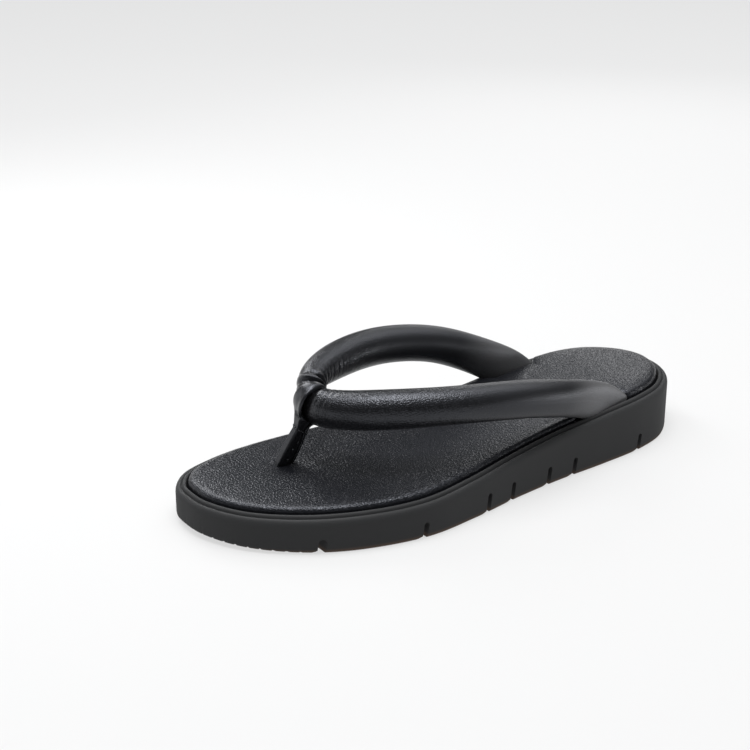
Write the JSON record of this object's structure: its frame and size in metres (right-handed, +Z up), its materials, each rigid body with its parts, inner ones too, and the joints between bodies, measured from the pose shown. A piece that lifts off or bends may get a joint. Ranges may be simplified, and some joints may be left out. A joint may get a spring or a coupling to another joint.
{
  "type": "padded thong sandal",
  "caption": "Left padded thong sandal: wedge rubber outsole with side cuts and a raised rim, rolled-edge footbed, and a stuffed strap held at the toe by a leather loop.",
  "frame": {"origin": "on the floor under the centre of the sole's bounding box", "axes": "+Z up, toe towards -Y, heel towards +Y, lateral side of the left shoe towards +X"},
  "size_m": [0.1072, 0.282, 0.067],
  "materials": {
    "outsole_rubber": "matte moulded foam rubber",
    "footbed_cover": "pebble-grained synthetic leather over foam",
    "strap_leather": "smooth satin leather over soft stuffing",
    "loop_leather": "smooth satin leather"
  },
  "bodies": {
    "root": {"outsole": "outsole_rubber", "footbed": "footbed_cover", "strap": "strap_leather", "toe_loop": "loop_leather"}
  },
  "joints": []
}
